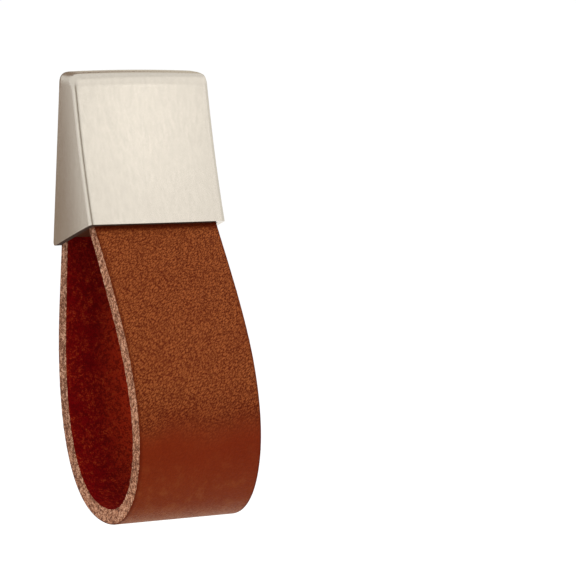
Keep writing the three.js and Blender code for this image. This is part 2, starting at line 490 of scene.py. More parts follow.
def start_group(
    name: str, sizes: Mapping[str, float]
) -> tuple[Wiring, bpy.types.bpy_prop_collection]:
    """Starts a shader node group that takes a vector and some values.

    Args:
        name: the group's name.
        sizes: the default of each value.

    Returns:
        The group's wiring, and the sockets that it takes.
    """
    tree = bpy.data.node_groups.new(name, "ShaderNodeTree")
    tree.interface.new_socket("Vector", in_out="INPUT", socket_type="NodeSocketVector")
    for label, default in sizes.items():
        socket = tree.interface.new_socket(label, in_out="INPUT", socket_type="NodeSocketFloat")
        socket.default_value = default
    wiring = Wiring(tree)
    return wiring, wiring.add("NodeGroupInput").outputs


def patches_group() -> bpy.types.NodeTree:
    """Builds uneven tone: wide soft patches with smaller ones on them, centred on 0.

    Returns:
        The group.
    """
    wiring, given = start_group("Tone patches", {"Patch size": 0.005, "Fine share": 0.4})
    wide_scale = wiring.math("DIVIDE", 1.0, given["Patch size"])
    fine_scale = wiring.math("MULTIPLY", wide_scale, 6.0)
    wide = wiring.math("SUBTRACT", wiring.noise(given["Vector"], wide_scale, 2, 0.5), 0.5)
    fine = wiring.math("SUBTRACT", wiring.noise(given["Vector"], fine_scale, 4, 0.65), 0.5)
    both = wiring.math("MULTIPLY_ADD", fine, given["Fine share"], wide)
    return wiring.give({"Tone": wiring.math("MULTIPLY", both, 2.0)})


def brush_group() -> bpy.types.NodeTree:
    """Builds brush lines that run along Z, as fine scratches in longer soft bands.

    Returns:
        The group.
    """
    wiring, given = start_group("Brush lines", {"Line width": 0.00008, "Line length": 0.012})
    across = wiring.math("DIVIDE", 1.0, given["Line width"])
    along = wiring.math("DIVIDE", 1.0, given["Line length"])
    scale = wiring.add("ShaderNodeCombineXYZ", {0: across, 1: across, 2: along}).outputs[0]
    lines = wiring.vector_math("MULTIPLY", given["Vector"], scale)
    bands = wiring.vector_math("MULTIPLY", lines, (0.12, 0.12, 0.45))
    line = wiring.noise(lines, 1.0, 3, 0.6)
    return wiring.give({"Line": line, "Band": wiring.noise(bands, 1.0, 2, 0.5)})


def pebble_group() -> bpy.types.NodeTree:
    """Builds pebbled grain: rounded cells between creases, with uneven heights.

    Returns:
        The group.
    """
    wiring, given = start_group("Pebbled grain", {"Pebble size": 0.00035, "Wander": 0.5})
    scale = wiring.math("DIVIDE", 1.0, given["Pebble size"])
    spot = wiring.vector_math("SCALE", given["Vector"], scale)
    drift = wiring.add("ShaderNodeTexNoise", {"Vector": spot, "Scale": 0.6, "Detail": 2.0})
    centred = wiring.vector_math("SUBTRACT", drift.outputs[1], (0.5, 0.5, 0.5))
    pulled = wiring.vector_math("SCALE", centred, given["Wander"])
    warped = wiring.vector_math("ADD", spot, pulled)
    cells = wiring.add(
        "ShaderNodeTexVoronoi", {"Vector": warped, "Scale": 1.0}, feature="DISTANCE_TO_EDGE"
    )
    rounded = wiring.remap(cells.outputs["Distance"], 0.0, 0.30)
    uneven = wiring.noise(warped, 2.1, 3, 0.6)
    height = wiring.math("ADD", uneven, wiring.math("MULTIPLY", rounded, 0.22))
    crease = wiring.math("SUBTRACT", 1.0, wiring.remap(height, 0.44, 0.72))
    return wiring.give({"Height": height, "Crease": crease})


def fibre_group() -> bpy.types.NodeTree:
    """Builds short tangled fibres, as on the flesh side and the cut edge of leather.

    Returns:
        The group.
    """
    wiring, given = start_group("Leather fibres", {"Bundle size": 0.0004})
    scale = wiring.math("DIVIDE", 1.0, given["Bundle size"])
    bundles = wiring.noise(given["Vector"], scale, 5, 0.7)
    finer = wiring.math("MULTIPLY", scale, 2.7)
    strands = wiring.add("ShaderNodeTexVoronoi", {"Vector": given["Vector"], "Scale": finer})
    height = wiring.math("MULTIPLY_ADD", strands.outputs["Distance"], -0.35, bundles)
    pit = wiring.remap(height, 0.24, 0.35, 1.0, 0.0)
    light = wiring.remap(height, 0.36, 0.48)
    return wiring.give({"Height": height, "Pit": pit, "Light fibre": light})


@dataclass(frozen=True)
class NodeGroups:
    """The shader node groups that the finishes share, each built once."""

    patches: bpy.types.NodeTree = field(default_factory=patches_group)
    brush: bpy.types.NodeTree = field(default_factory=brush_group)
    pebbles: bpy.types.NodeTree = field(default_factory=pebble_group)
    fibres: bpy.types.NodeTree = field(default_factory=fibre_group)

    def tone(
        self, wiring: Wiring, spot: Any, size: float, fine_share: float
    ) -> bpy.types.NodeSocket:
        """Places the tone patches in a material and gives their value, centred on 0."""
        inputs = {"Vector": spot, "Patch size": size, "Fine share": fine_share}
        return wiring.group(self.patches, inputs)["Tone"]


def start_material(name: str, shown: Color) -> tuple[bpy.types.Material, Wiring]:
    """Starts a node material.

    Args:
        name: the material's name.
        shown: the colour that plain views show.

    Returns:
        The material, and the wiring of its emptied tree.
    """
    material = bpy.data.materials.new(name)
    material.use_nodes = True
    material.diffuse_color = (*shown, 1.0)
    return material, Wiring(material.node_tree)


def finish_material(
    wiring: Wiring,
    color: bpy.types.NodeSocket,
    roughness: bpy.types.NodeSocket | float,
    normal: bpy.types.NodeSocket,
    specular: float = 0.5,
    metallic: float = 0.0,
) -> None:
    """Adds the Principled shader and the material's output.

    Args:
        wiring: the material's wiring.
        color: the base colour.
        roughness: the roughness.
        normal: the normal from a bump.
        specular: the level of specular reflection.
        metallic: 1 for a bare metal, 0 for anything else.
    """
    inputs = {
        "Base Color": color,
        "Roughness": roughness,
        "Normal": normal,
        "Specular IOR Level": specular,
        "Metallic": metallic,
    }
    shader = wiring.add("ShaderNodeBsdfPrincipled", inputs)
    wiring.add("ShaderNodeOutputMaterial", {"Surface": shader.outputs[0]})


def darker(color: Color, share: float) -> Color:
    """Gives a colour scaled towards black."""
    return (color[0] * share, color[1] * share, color[2] * share)


# Finishes. Their sizes are in metres.


@dataclass(frozen=True)
class BrushedNickel:
    """Warm satin nickel plate, brushed up and down, with slightly uneven gloss."""

    groups: NodeGroups
    color: Color = (0.636, 0.580, 0.497)
    shaded: float = 0.6
    line_share: float = 0.06
    band_share: float = 0.10
    roughness: float = 0.22
    line_roughness: float = 0.04
    patch_roughness: float = 0.015
    patch_size: float = 0.009
    line_strength: float = 0.35
    line_depth: float = 0.000005

    def material(self) -> bpy.types.Material:
        """Builds the material.

        Returns:
            The finished material.
        """
        material, wiring = start_material("Brushed nickel", self.color)
        spot = wiring.piece_place()
        brush = wiring.group(self.groups.brush, {"Vector": spot})
        tone = self.groups.tone(wiring, spot, self.patch_size, 0.4)
        line = wiring.remap(brush["Line"], 0.35, 0.65)
        band = wiring.remap(brush["Band"], 0.3, 0.7, 0.0, self.band_share)
        share = wiring.math("MULTIPLY_ADD", line, self.line_share, band)
        color = wiring.blend(share, self.color, darker(self.color, self.shaded))
        rough = wiring.math("MULTIPLY_ADD", line, self.line_roughness, self.roughness)
        rough = wiring.math("MULTIPLY_ADD", tone, self.patch_roughness, rough)
        normal = wiring.bump(brush["Line"], self.line_strength, self.line_depth)
        finish_material(wiring, color, rough, normal, metallic=1.0)
        return material


@dataclass(frozen=True)
class PlatedCasting:
    """A cast face that was never polished: dull, pebbled and a little uneven in tone."""

    groups: NodeGroups
    name: str
    color: Color
    roughness: float = 0.5
    metallic: float = 1.0
    specular: float = 0.5
    shaded: float = 0.82
    patch_size: float = 0.004
    patch_roughness: float = 0.12
    pebble_size: float = 0.0006
    pebble_strength: float = 0.4
    pebble_depth: float = 0.00003

    def material(self) -> bpy.types.Material:
        """Builds the material.

        Returns:
            The finished material.
        """
        material, wiring = start_material(self.name, self.color)
        spot = wiring.piece_place()
        tone = self.groups.tone(wiring, spot, self.patch_size, 0.8)
        pebbles = wiring.group(
            self.groups.pebbles, {"Vector": spot, "Pebble size": self.pebble_size, "Wander": 1.2}
        )
        share = wiring.remap(tone, -0.5, 0.5)
        color = wiring.blend(share, darker(self.color, self.shaded), self.color)
        rough = wiring.math("MULTIPLY_ADD", tone, self.patch_roughness, self.roughness)
        normal = wiring.bump(pebbles["Height"], self.pebble_strength, self.pebble_depth)
        finish_material(wiring, color, rough, normal, self.specular, self.metallic)
        return material


@dataclass(frozen=True)
class GrainLeather:
    """The strap's outer side, with places given along it from its front end.

    Fine pebbled grain, drawn smoother round the drop, where painted shade darkens it as it
    turns down, with blotches of painted sheen there. A painted reflection of the floor
    lightens it near the drop's lowest place; it is dark at its rolled edges, and a painted
    shadow makes it darkest just under the cap's lip.
    """

    groups: NodeGroups
    ridge_color: Color = (0.352, 0.092, 0.0235)
    crease_color: Color = (0.092, 0.0115, 0.0021)
    # Painted colours: shade where the strap turns down, blotches of sheen, and the floor's reflection.
    drawn_and_shaded_color: Color = (0.161, 0.0105, 0.0003)
    sheen_blotch_color: Color = (0.235, 0.052, 0.0120)
    floor_reflection_color: Color = (0.410, 0.205, 0.100)
    crease_shade: float = 0.45
    # Darkens the tone patches, and the painted shadow under the cap's lip.
    patch_and_lip_shadow_shade: float = 0.7
    roughness: float = 0.52
    crease_roughness: float = 0.15
    drawn_polish: float = 0.08
    specular: float = 0.04
    pebble_size: float = 0.00030
    grain_turn: float = math.radians(-52)
    grain_stretch: float = 3.0
    grain_strength: float = 0.8
    grain_depth: float = 0.00024
    grain_lost: float = 0.7
    patch_size: float = 0.008
    patch_share: float = 0.15
    blotch_size: float = 0.0022
    blotch_share: Range = (0.1, 0.45)
    waviness: float = 0.0025
    # Along the strap from its front end: painted shade where it turns down, and smoother drawn grain.
    underside_shade_from: Range = (0.0455, 0.0565)
    smoother_from: Range = (0.0505, 0.0560)
    underside_shade_to: Range = (0.057, 0.096)
    drawn_to: Range = (0.064, 0.085)
    underside_shade_share: float = 0.9
    # Along the strap: painted sheen in blotches, then a painted reflection of the floor.
    sheen_from: Range = (0.054, 0.069)
    sheen_share: Range = (0.1, 1.8)
    floor_reflection_from: Range = (0.0655, 0.073)
    floor_reflection_to: Range = (0.078, 0.088)
    floor_reflection_share: float = 0.7
    floor_reflection_off_creases: float = 0.8
    # Along the strap: the painted shadow just under the cap's lip.
    lip_shadow_to: Range = (0.0172, 0.0182)
    lip_shadow_share: float = 0.8
    rolled_edge: float = 0.0007
    rolled_share: float = 0.55
    width: float = 0.023

    def material(self) -> bpy.types.Material:
        """Builds the material.

        Returns:
            The finished material.
        """
        material, wiring = start_material("Grain leather", self.ridge_color)
        spot = wiring.add("ShaderNodeUVMap", uv_map=LeatherStrap.UV_NAME).outputs[0]
        parts = wiring.parts(spot)
        along, across = parts["X"], parts["Y"]
        turned = {"Rotation": (0.0, 0.0, self.grain_turn), "Scale": (self.grain_stretch, 1.0, 1.0)}
        pulled = wiring.add("ShaderNodeMapping", {"Vector": spot, **turned}, vector_type="TEXTURE")
        pebbles = wiring.group(
            self.groups.pebbles,
            {"Vector": pulled.outputs[0], "Pebble size": self.pebble_size, "Wander": 0.2},
        )
        tone = self.groups.tone(wiring, spot, self.patch_size, 0.0)
        wavy = wiring.math("MULTIPLY_ADD", tone, self.waviness, along)
        # Painted shade: darker and redder where the strap turns down round the drop.
        underside_shade_below = wiring.remap(wavy, *self.underside_shade_from)
        before_end = wiring.remap(along, *self.underside_shade_to, 1.0, 0.0)
        drawn = wiring.math("MULTIPLY", underside_shade_below, before_end)
        smooth_below = wiring.remap(wavy, *self.smoother_from)
        before_back = wiring.remap(along, *self.drawn_to, 1.0, 0.0)
        smooth = wiring.math("MULTIPLY", smooth_below, before_back)
        grain = wiring.math("MULTIPLY_ADD", smooth, -self.grain_lost, 1.0)
        crease = wiring.math("MULTIPLY", pebbles["Crease"], grain)
        color = self._grain_color(wiring, drawn, crease)
        share = wiring.remap(tone, -0.5, 0.5, 0.0, self.patch_share)
        color = wiring.blend(share, color, darker(self.drawn_and_shaded_color, self.patch_and_lip_shadow_shade))
        # Painted sheen: lighter blotches, more of them lower round the drop.
        color = self._painted_sheen(wiring, color, spot, along, smooth)
        # Painted reflection of the floor near the drop's lowest place.
        color = self._painted_floor_reflection(wiring, color, along, pebbles["Crease"])
        side = wiring.math("ABSOLUTE", wiring.math("SUBTRACT", across, self.width / 2))
        rolled_from = self.width / 2 - self.rolled_edge
        rolled = wiring.remap(side, rolled_from, self.width / 2, 0.0, self.rolled_share)
        color = wiring.blend(rolled, color, darker(self.drawn_and_shaded_color, self.crease_shade))
        # Painted shadow just under the cap's lip.
        pinched = wiring.remap(along, *self.lip_shadow_to, self.lip_shadow_share, 0.0)
        color = wiring.blend(pinched, color, darker(self.drawn_and_shaded_color, self.patch_and_lip_shadow_shade))
        rough = wiring.math("MULTIPLY_ADD", crease, self.crease_roughness, self.roughness)
        rough = wiring.math("MULTIPLY_ADD", smooth, -self.drawn_polish, rough)
        height = wiring.math("MULTIPLY", pebbles["Height"], grain)
        normal = wiring.bump(height, self.grain_strength, self.grain_depth)
        finish_material(wiring, color, rough, normal, self.specular)
        return material

    def _grain_color(self, wiring: Wiring, drawn: Any, crease: Any) -> bpy.types.NodeSocket:
        """Colours ridges and creases.

        Args:
            wiring: the material's wiring.
            drawn: how far painted shade darkens the leather where it turns down round the drop.
            crease: how far a place lies in a crease.

        Returns:
            The colour.
        """
        share = wiring.math("MULTIPLY", drawn, self.underside_shade_share)
        ridges = wiring.blend(share, self.ridge_color, self.drawn_and_shaded_color)
        shaded_crease_color = darker(self.drawn_and_shaded_color, self.crease_shade)
        creases = wiring.blend(drawn, self.crease_color, shaded_crease_color)
        return wiring.blend(crease, ridges, creases)

    def _painted_sheen(
        self, wiring: Wiring, color: Any, spot: Any, along: Any, smooth: Any
    ) -> bpy.types.NodeSocket:
        """Adds blotches of painted sheen, more of them lower round the drop.

        Args:
            wiring: the material's wiring.
            color: the colour so far.
            spot: the place on the strap.
            along: the place along the strap.
            smooth: how far the grain is drawn smooth.

        Returns:
            The colour with its blotches.
        """
        tone = self.groups.tone(wiring, spot, self.blotch_size, 0.5)
        share = wiring.remap(tone, -0.1, 0.5, *self.blotch_share)
        handled = wiring.remap(along, *self.sheen_from, *self.sheen_share)
        share = wiring.math("MULTIPLY", share, handled)
        share = wiring.math("MULTIPLY", share, smooth)
        return wiring.blend(share, color, self.sheen_blotch_color)

    def _painted_floor_reflection(
        self, wiring: Wiring, color: Any, along: Any, crease: Any
    ) -> bpy.types.NodeSocket:
        """Adds a painted reflection of the floor near the drop's lowest place, which spares the
        creases.

        Args:
            wiring: the material's wiring.
            color: the colour so far.
            along: the place along the strap.
            crease: how far a place lies in a crease, drawn or not.

        Returns:
            The colour with its painted reflection.
        """
        start = wiring.remap(along, *self.floor_reflection_from, 0.0, self.floor_reflection_share)
        end = wiring.remap(along, *self.floor_reflection_to, 1.0, 0.0)
        speckle = wiring.math("MULTIPLY_ADD", crease, -self.floor_reflection_off_creases, 1.0)
        share = wiring.math("MULTIPLY", wiring.math("MULTIPLY", start, end), speckle)
        return wiring.blend(share, color, self.floor_reflection_color)


@dataclass(frozen=True)
class FleshLeather:
    """The strap's inner side: a short dark red nap, with browner painted light low down on the right.
    """

    groups: NodeGroups
    color: Color = (0.160, 0.0012, 0.0018)
    worn_color: Color = (0.215, 0.006, 0.0025)
    speck_color: Color = (0.340, 0.052, 0.0110)
    # Painted light low down on the right.
    painted_light_color: Color = (0.470, 0.033, 0.0080)
    pit_shade: float = 0.4
    pit_share: float = 0.6
    speck_share: float = 0.8
    roughness: float = 0.95
    specular: float = 0.05
    # Where the painted light lies, across and up.
    painted_light_across: Range = (-0.0068, 0.0010)
    painted_light_up: Range = (-0.028, -0.014)
    bundle_size: float = 0.0007
    patch_size: float = 0.0025
    nap_strength: float = 0.8
    nap_depth: float = 0.00015

    def material(self) -> bpy.types.Material:
        """Builds the material.

        Returns:
            The finished material.
        """
        material, wiring = start_material("Flesh side", self.color)
        spot = wiring.piece_place()
        parts = wiring.parts(spot)
        fibres = wiring.group(
            self.groups.fibres, {"Vector": spot, "Bundle size": self.bundle_size}
        )
        worn = wiring.remap(self.groups.tone(wiring, spot, self.patch_size, 0.9), -0.35, 0.5)
        color = wiring.blend(worn, self.color, self.worn_color)
        # Painted light: lighter and browner low down on the right.
        across = wiring.remap(parts["X"], *self.painted_light_across)
        below = wiring.remap(parts["Z"], *self.painted_light_up, 1.0, 0.0)
        color = wiring.blend(wiring.math("MULTIPLY", across, below), color, self.painted_light_color)
        speck = wiring.math("MULTIPLY", fibres["Light fibre"], worn)
        speck = wiring.math("MULTIPLY", speck, self.speck_share)
        color = wiring.blend(speck, color, self.speck_color)
        pit = wiring.math("MULTIPLY", fibres["Pit"], self.pit_share)
        color = wiring.blend(pit, color, darker(self.color, self.pit_shade))
        normal = wiring.bump(fibres["Height"], self.nap_strength, self.nap_depth)
        finish_material(wiring, color, self.roughness, normal, self.specular)
        return material


@dataclass(frozen=True)
class CutLeather:
    """The strap's cut edges: tan fibres with dark pits and light specks, and painted shade towards the
    door.
    """

    groups: NodeGroups
    color: Color = (0.535, 0.228, 0.120)
    pit_color: Color = (0.095, 0.026, 0.012)
    light_color: Color = (0.860, 0.510, 0.340)
    patch_shade: float = 0.55
    patch_share: float = 0.35
    # Painted shade towards the door, where less light reaches the cut edge.
    light_falloff_shade: float = 0.4
    light_falloff_share: float = 0.55
    light_falloff_from: Range = (-0.016, -0.003)
    pit_share: float = 0.85
    light_share: float = 0.7
    roughness: float = 0.9
    specular: float = 0.25
    bundle_size: float = 0.00065
    patch_size: float = 0.003
    fibre_strength: float = 0.9
    fibre_depth: float = 0.00015

    def material(self) -> bpy.types.Material:
        """Builds the material.

        Returns:
            The finished material.
        """
        material, wiring = start_material("Cut leather edge", self.color)
        spot = wiring.piece_place()
        fibres = wiring.group(
            self.groups.fibres, {"Vector": spot, "Bundle size": self.bundle_size}
        )
        tone = self.groups.tone(wiring, spot, self.patch_size, 0.6)
        share = wiring.remap(tone, -0.5, 0.5, 0.0, self.patch_share)
        color = wiring.blend(share, self.color, darker(self.color, self.patch_shade))
        # Painted shade: darker towards the door.
        back = wiring.remap(wiring.parts(spot)["Y"], *self.light_falloff_from, 0.0, self.light_falloff_share)
        color = wiring.blend(back, color, darker(self.color, self.light_falloff_shade))
        pit = wiring.math("MULTIPLY", fibres["Pit"], self.pit_share)
        color = wiring.blend(pit, color, self.pit_color)
        light = wiring.math("MULTIPLY", fibres["Light fibre"], self.light_share)
        color = wiring.blend(light, color, self.light_color)
        normal = wiring.bump(fibres["Height"], self.fibre_strength, self.fibre_depth)
        finish_material(wiring, color, self.roughness, normal, self.specular)
        return material


# The knob's pieces.


@dataclass(frozen=True)
class CapProfile:
    """The cap in side view, in millimetres, as (out, up) points."""

    top_up: float = 15.0
    lip_up: float = -9.3
    top_out: float = 4.3
    lip_out: float = 12.4
    front_hollow: float = 0.43
    mouth_slope: float = math.radians(23.3)
    wall: float = 1.0

    @property
    def lip(self) -> Vector:
        """The front lip of the mouth."""
        return Vector((self.lip_out, self.lip_up))

    @property
    def mouth_inward(self) -> Vector:
        """Direction along the mouth, towards the door."""
        return Vector((-math.cos(self.mouth_slope), -math.sin(self.mouth_slope)))

    @property
    def front_radius(self) -> float:
        """Radius of the hollow front."""
        half = (Vector((self.top_out, self.top_up)) - self.lip).length / 2
        return (half**2 + self.front_hollow**2) / (2 * self.front_hollow)

    @property
    def front_centre(self) -> Vector:
        """Centre of the hollow front's arc, out in front of the knob."""
        top = Vector((self.top_out, self.top_up))
        chord = (top - self.lip).normalized()
        outward = Vector((chord.y, -chord.x))
        return (top + self.lip) / 2 + outward * (self.front_radius - self.front_hollow)

    def front_depth(self, up: float, behind: float = 0.0) -> float:
        """Distance from the door of the surface this far behind the front, at a height."""
        reach = self.front_radius + behind
        return self.front_centre.x - math.sqrt(reach**2 - (up - self.front_centre.y) ** 2)

    def front_upward(self, up: float, behind: float = 0.0) -> Vector:
        """Upward direction of the surface this far behind the front, at a height.

        Args:
            up: the height.
            behind: how far the surface lies behind the front.

        Returns:
            The direction in side view.
        """
        spot = Vector((self.front_depth(up, behind), up))
        to_centre = (self.front_centre - spot).normalized()
        return Vector((-to_centre.y, to_centre.x))

    def meet_front(self, point: Vector, direction: Vector, behind: float) -> Vector:
        """Where the surface this far behind the front meets a line that runs on inwards.

        Args:
            point: a point of the line.
            direction: the line's direction.
            behind: how far the surface lies behind the front.

        Returns:
            The point where they meet.
        """
        reach = self.front_radius + behind
        to_centre = self.front_centre - point
        nearest = to_centre.dot(direction)
        aside = to_centre.x * direction.y - to_centre.y * direction.x
        return point + direction * (nearest + math.sqrt(reach**2 - aside**2))

    def mouth_up(self, out: float) -> float:
        """Height of the mouth at a distance from the door."""
        return self.lip_up + (out - self.lip_out) * math.tan(self.mouth_slope)

    def below_mouth(self, spot: Vector) -> float:
        """Distance below the mouth of a 3-D place."""
        upward = Vector((-math.sin(self.mouth_slope), math.cos(self.mouth_slope)))
        return -(Vector((-spot.y, spot.z)) - self.lip).dot(upward)


@dataclass(frozen=True)
class EdgeRounds:
    """Widths of one skin's rounds: along the top's front, along its sides, and upright."""

    top_front: float
    top_left: float
    top_right: float
    upright: float

    @property
    def largest(self) -> float:
        """The largest of the widths, which bevel weights are shares of."""
        return max(self.top_front, self.top_left, self.top_right, self.upright)


@dataclass
class MetalCap:
    """The cast hood with its tapped boss, in millimetres."""

    profile: CapProfile
    width: float = 26.0
    rounds: EdgeRounds = EdgeRounds(top_front=2.6, top_left=2.1, top_right=1.2, upright=0.8)
    inside_rounds: EdgeRounds = EdgeRounds(top_front=1.8, top_left=1.3, top_right=0.5, upright=0.35)
    top_arch: float = 0.38
    arch_peak: float = 2.5
    arch_reach: float = 4.0
    front_crown: float = 0.14
    heel_round: float = 0.6
    rim_round: float = 0.12
    rim_height: float = 1.0
    # Painted shade: the mouth's rim is dark up to here across the knob.
    shaded_rim_to: float = 11.0
    side_radius: float = 120.0
    face_steps: int = 8
    side_cuts: int = 7
    across_cuts: int = 19
    round_steps: int = 10
    round_profile: float = 0.62
    boss_radius: float = 3.4
    boss_draft: float = math.radians(2)
    boss_chamfer: float = 0.15
    bore_radius: float = 2.0
    bore_floor: float = 1.5
    drill_slope: float = math.radians(31)
    thread_core: float = 1.65
    thread_pitch: float = 0.7
    thread_flank: float = 0.44
    thread_crest: float = 0.06
    thread_turns: int = 8
    thread_bed: float = 0.05
    lead_in: float = 0.5
    turned_steps: int = 64

    def build(self, groups: NodeGroups) -> bpy.types.Object:
        """Models the cap and dresses it.

        Args:
            groups: the shared node groups.

        Returns:
            The finished cap.
        """
        inside = PlatedCasting(groups, "Plated casting", (0.52, 0.49, 0.43))
        # Painted shade and a painted reflection of the leather: the mouth's rim is dark and dull.
        rim = PlatedCasting(
            groups, "Mouth rim in painted shade", (0.075, 0.046, 0.034), roughness=0.6, metallic=0.0, specular=0.03
        )
        materials = (BrushedNickel(groups).material(), inside.material(), rim.material())
        cap = self._hood(materials)
        boss, thread = self._boss(), self._thread()
        for part in (boss, thread):
            dress(part, *materials)
            mark(part, CapFace.INSIDE)
        combine(cap, boss, "UNION")
        join(cap, thread)
        bring_to_metres(cap)
        shade(cap, sharp_from=40)
        return cap

    def _skin(self, name: str, behind: float, rounds: EdgeRounds) -> bpy.types.Object:
        """Models one skin of the hood, open at the door and at the mouth.

        Args:
            name: the skin's name.
            behind: how far it lies inside the outer face.
            rounds: widths of its rounds.

        Returns:
            The skin as a sheet.
        """
        profile = self.profile
        half = self.width / 2 - behind
        top = profile.top_up - behind
        foot = profile.meet_front(profile.lip, profile.mouth_inward, behind)
        head = Vector((profile.front_depth(top, behind), top))
        centre = profile.front_centre
        turn = (foot - centre).angle_signed(head - centre)
        skin = start_outline(name, [place(-half, foot), place(half, foot)])
        with Editing(skin) as edit:
            edit.everything()
            bpy.ops.mesh.spin(
                steps=self.face_steps, angle=-turn, center=place(0, centre), axis=(1, 0, 0)
            )
            edit.edges(
                lambda edge: at_height(edge, top)
                or (on_side(edge, half) and abs(span(edge).x) < NEAR)
            )
            bpy.ops.mesh.extrude_region_move()
            bpy.ops.transform.resize(value=(1, 0, 1), center_override=(0, 0, 0))
            edit.vertices(lambda co: abs(co.y) < NEAR and abs(co.z - foot.y) < NEAR)
            bpy.ops.transform.translate(value=(0, 0, profile.mouth_up(0) - foot.y))
            edit.face_outwards()
            self._weigh_rounds(edit, half, top, rounds)
        apply_modifier(
            skin,
            "BEVEL",
            width=rounds.largest,
            segments=self.round_steps,
            profile=self.round_profile,
            limit_method="WEIGHT",
        )
        with Editing(skin) as edit:
            edit.edges(lambda edge: ends_on_door(edge) == 1)
            bpy.ops.mesh.subdivide(number_cuts=self.side_cuts)
            edit.edges(lambda edge: abs(span(edge).x) > half)
            bpy.ops.mesh.subdivide(number_cuts=self.across_cuts)
        self._arch(skin, top)
        return skin

    def _weigh_rounds(self, edit: Editing, half: float, top: float, rounds: EdgeRounds) -> None:
        """Marks the edges of a skin that are rounded, by shares of the largest round.

        Args:
            edit: the skin in edit mode.
            half: half of its width.
            top: its height.
            rounds: widths of its rounds.
        """
        edit.edges(lambda edge: at_height(edge, top) and not ends_on_door(edge))
        bpy.ops.transform.edge_bevelweight(value=rounds.top_front / rounds.largest)
        for side, width in ((-1, rounds.top_left), (1, rounds.top_right)):
            edit.edges(
                lambda edge: at_height(edge, top)
                and ends_on_door(edge) == 1
                and all(vertex.co.x * side > 0 for vertex in edge.verts)
            )
            bpy.ops.transform.edge_bevelweight(value=width / rounds.largest)
        edit.edges(
            lambda edge: on_side(edge, half)
            and not ends_on_door(edge)
            and abs(span(edge).z) > NEAR
        )
        bpy.ops.transform.edge_bevelweight(value=rounds.upright / rounds.largest)

    def _arch(self, skin: bpy.types.Object, top: float) -> None:
        """Arches the top of a skin a little from side to side.

        Args:
            skin: one skin of the hood.
            top: its height.
        """

        def share(vertex: bpy.types.MeshVertex) -> float:
            """Gives how far a vertex sinks beside the arch's peak."""
            aside = (vertex.co.x - self.arch_peak) / (self.width / 2 + self.arch_peak)
            return clamped(1 - (top - vertex.co.z) / self.arch_reach) * aside * aside

        displace(skin, weigh(skin, "arch", share), -self.top_arch, "Z")

    def _crown_sides(self, skin: bpy.types.Object) -> None:
        """Crowns both side walls a little, as polishing leaves them.

        Args:
            skin: the outer skin of the hood.
        """

        def rise(vertex: bpy.types.MeshVertex) -> float:
            """Gives how far a vertex of a side wall comes out.

            Args:
                vertex: a vertex of the skin.

            Returns:
                The rise in millimetres, 0 off the side walls.
            """
            if abs(abs(vertex.co.x) - self.width / 2) > NEAR:
                return 0.0
            out, up = -vertex.co.y, max(vertex.co.z, self.profile.lip_up)
            depth = self.profile.front_depth(up) - self.rounds.upright
            return max(out * (depth - out) / (2 * self.side_radius), 0.0)

        displace(skin, weigh(skin, "crown", rise), 1.0, "NORMAL")

    def _crown_front(self, skin: bpy.types.Object) -> None:
        """Crowns the front a little from side to side.

        Args:
            skin: the outer skin of the hood.
        """

        def share(vertex: bpy.types.MeshVertex) -> float:
            """Gives how far a vertex of the front comes out.

            Args:
                vertex: a vertex of the skin.

            Returns:
                The share, 0 behind the front.
            """
            before = -vertex.co.y - self.profile.front_depth(vertex.co.z)
            in_front = before > -self.rounds.upright
            return 1 - (2 * vertex.co.x / self.width) ** 2 if in_front else 0.0

        displace(skin, weigh(skin, "front crown", share), -self.front_crown, "Y")

    def _is_shaded_rim(self, face: bmesh.types.BMFace) -> bool:
        """Tells whether a face of the hood is part of the mouth's rim, which has painted shade.

        Args:
            face: the face.

        Returns:
            True all along the mouth's rim, except under the right wall, which stays plated.
        """
        middle = face.calc_center_median()
        low = middle.z < self.profile.lip_up + self.rim_height
        return face.normal.z < -0.5 and low and middle.x < self.shaded_rim_to

    def _hood(self, materials: Sequence[bpy.types.Material]) -> bpy.types.Object:
        """Models the hood: two skins, bridged round the back and the mouth.

        Args:
            materials: the materials of the cap's places.

        Returns:
            The hood as a closed shell.
        """
        outside = self._skin("cap_shell", 0.0, self.rounds)
        self._crown_sides(outside)
        self._crown_front(outside)
        inside = self._skin("inside", self.profile.wall, self.inside_rounds)
        for skin, face in ((outside, CapFace.OUTSIDE), (inside, CapFace.INSIDE)):
            dress(skin, *materials)
            mark(skin, face)
        with Editing(inside) as edit:
            edit.everything()
            bpy.ops.mesh.flip_normals()
        join(outside, inside)
        heel_up = self.profile.mouth_up(0)
        heel_angle = math.pi / 2 - self.profile.mouth_slope
        with Editing(outside) as edit:
            bpy.ops.mesh.select_non_manifold(extend=False)
            bpy.ops.mesh.bridge_edge_loops()
            edit.edges(lambda edge: ends_on_door(edge) == 2 and at_height(edge, heel_up))
            bpy.ops.mesh.bevel(
                offset=self.heel_round / math.tan(heel_angle / 2), segments=self.round_steps
            )
            edit.face_outwards()
            # Painted shade on the mouth's rim.
            edit.faces(self._is_shaded_rim)
            outside.active_material_index = CapFace.RIM
            bpy.ops.object.material_slot_assign()
        apply_modifier(
            outside,
            "BEVEL",
            width=self.rim_round,
            segments=2,
            limit_method="ANGLE",
            angle_limit=math.radians(35),
        )
        with Editing(outside) as edit:
            edit.merge()
        return outside

